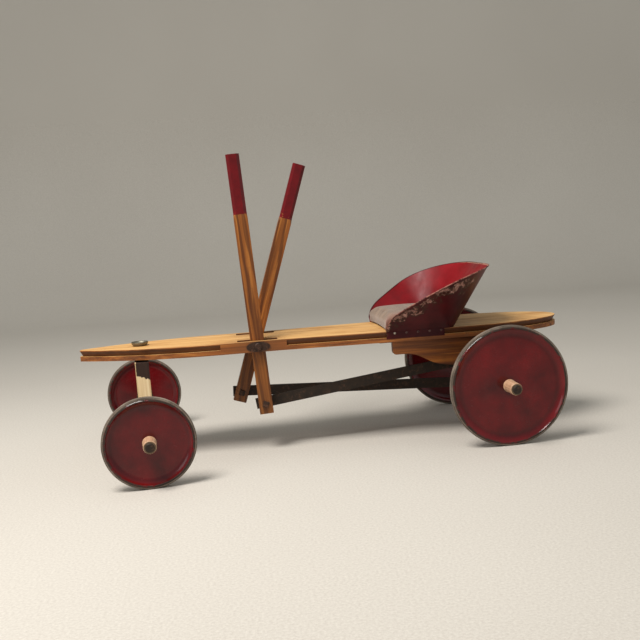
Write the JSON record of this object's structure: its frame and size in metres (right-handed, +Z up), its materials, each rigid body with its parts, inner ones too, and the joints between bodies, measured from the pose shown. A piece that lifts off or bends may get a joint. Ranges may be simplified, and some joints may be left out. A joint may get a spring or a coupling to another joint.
{
  "type": "child's push cart",
  "caption": "Low plank cart on four disc wheels with a tin bucket seat, rocked by two upright hand levers that turn a cranked rear axle; the front axle swivels.",
  "frame": {"origin": "on the ground under the middle of the deck, at the centre of the object's footprint", "axes": "+Z up, +X towards the tail of the deck, +Y towards the cart's right side (nose at -X)"},
  "size_m": [1.02, 0.627, 0.6082],
  "materials": {
    "deck_wood": "worn varnish",
    "frame_wood": "worn varnish",
    "bolster_wood": "raw and chipped",
    "lever_wood": "varnished, grips painted deep red",
    "hub_wood": "turned, bare",
    "wheel_paint": "gloss dark red",
    "seat_tin": "gloss red, worn to bare tin at the rim",
    "tyre_rubber": "aged grey-brown",
    "cushion_cloth": "coarse brown cloth",
    "dark_iron": "blackened iron",
    "rusty_iron": "dark rusty iron",
    "grey_steel": "dull grey steel",
    "fastener_iron": "dull steel"
  },
  "bodies": {
    "frame": {"deck": "deck_wood", "cheek_left": "frame_wood", "cheek_right": "frame_wood", "cleat_left": "frame_wood", "cleat_right": "frame_wood", "cleat_screws": "fastener_iron", "axle_bush_left": "fastener_iron", "axle_bush_right": "fastener_iron", "seat_shell": "seat_tin", "seat_cushion": "cushion_cloth", "seat_nails": "fastener_iron", "seat_foot_tacks": "fastener_iron", "pivot_rod": "rusty_iron", "pivot_nut": "rusty_iron", "pivot_plate_left": "rusty_iron", "pivot_plate_right": "rusty_iron", "pivot_plate_screws": "fastener_iron", "king_bolt": "grey_steel", "king_cap": "grey_steel", "king_washer": "fastener_iron", "king_nut": "fastener_iron", "upper_rub_plate": "fastener_iron"},
    "truck": {"bolster": "bolster_wood", "front_axle": "dark_iron", "front_axle_washers": "fastener_iron", "front_axle_collars": "fastener_iron", "axle_strap_left": "fastener_iron", "axle_strap_right": "fastener_iron", "strap_screws": "fastener_iron", "lower_rub_plate": "fastener_iron"},
    "lever_left": {"lever_left": "lever_wood", "lever_bolt_left": "fastener_iron"},
    "lever_right": {"lever_right": "lever_wood", "lever_bolt_right": "fastener_iron"},
    "crank": {"crank_axle": "dark_iron", "rear_axle_washers": "fastener_iron", "rear_axle_collars": "fastener_iron", "crank_collar": "fastener_iron"},
    "rod_left": {"rod_left": "dark_iron", "rod_nut_left": "fastener_iron"},
    "rod_right": {"rod_right": "dark_iron", "rod_nut_right": "fastener_iron"},
    "front_wheel_left": {"front_wheel_left_disc": "wheel_paint", "front_wheel_left_tyre": "tyre_rubber", "front_wheel_left_hub": "hub_wood"},
    "front_wheel_right": {"front_wheel_right_disc": "wheel_paint", "front_wheel_right_tyre": "tyre_rubber", "front_wheel_right_hub": "hub_wood"},
    "rear_wheel_left": {"rear_wheel_left_disc": "wheel_paint", "rear_wheel_left_tyre": "tyre_rubber", "rear_wheel_left_hub": "hub_wood"},
    "rear_wheel_right": {"rear_wheel_right_disc": "wheel_paint", "rear_wheel_right_tyre": "tyre_rubber", "rear_wheel_right_hub": "hub_wood"}
  },
  "joints": [
    {"name": "lever_left_swing", "type": "hinge", "parent": "frame", "child": "lever_left", "pos_m": [-0.1495, -0.062, 0.221], "axis": [0, 1, 0], "range_deg": [0, 20.17]},
    {"name": "lever_right_swing", "type": "hinge", "parent": "frame", "child": "lever_right", "pos_m": [-0.1495, 0.062, 0.221], "axis": [0, 1, 0], "range_deg": [-19.83, 0]},
    {"name": "crank_turn", "type": "hinge", "parent": "frame", "child": "crank", "pos_m": [0.3324, 0, 0.1205], "axis": [0, 1, 0], "range_deg": [-55.61, 0]},
    {"name": "rod_left_turn", "type": "hinge", "parent": "crank", "child": "rod_left", "pos_m": [0.35339, -0.0465, 0.16031], "axis": [0, 1, 0], "range_deg": [0, 56.21]},
    {"name": "rod_right_turn", "type": "hinge", "parent": "crank", "child": "rod_right", "pos_m": [0.31141, 0.0775, 0.08069], "axis": [0, 1, 0], "range_deg": [0, 54.9]},
    {"name": "rear_wheel_left_spin", "type": "hinge", "parent": "crank", "child": "rear_wheel_left", "pos_m": [0.3324, -0.224, 0.1205], "axis": [0, 1, 0], "continuous": true},
    {"name": "rear_wheel_right_spin", "type": "hinge", "parent": "crank", "child": "rear_wheel_right", "pos_m": [0.3324, 0.224, 0.1205], "axis": [0, 1, 0], "continuous": true},
    {"name": "steer", "type": "hinge", "parent": "frame", "child": "truck", "pos_m": [-0.39, 0, 0.205], "axis": [0, 0, 1], "range_deg": [-30, 20]},
    {"name": "front_wheel_left_spin", "type": "hinge", "parent": "truck", "child": "front_wheel_left", "pos_m": [-0.36473, -0.26982, 0.085], "axis": [-0.0932, 0.9956, 0], "continuous": true},
    {"name": "front_wheel_right_spin", "type": "hinge", "parent": "truck", "child": "front_wheel_right", "pos_m": [-0.41527, 0.26982, 0.085], "axis": [-0.0932, 0.9956, 0], "continuous": true}
  ],
  "couplings": [
    {"joint": "lever_right_swing", "follows": "lever_left_swing", "ratio": -0.98262},
    {"joint": "crank_turn", "follows": "lever_left_swing", "ratio": -2.7562},
    {"joint": "rod_left_turn", "follows": "lever_left_swing", "ratio": 2.7859},
    {"joint": "rod_right_turn", "follows": "lever_left_swing", "ratio": 2.7211}
  ]
}
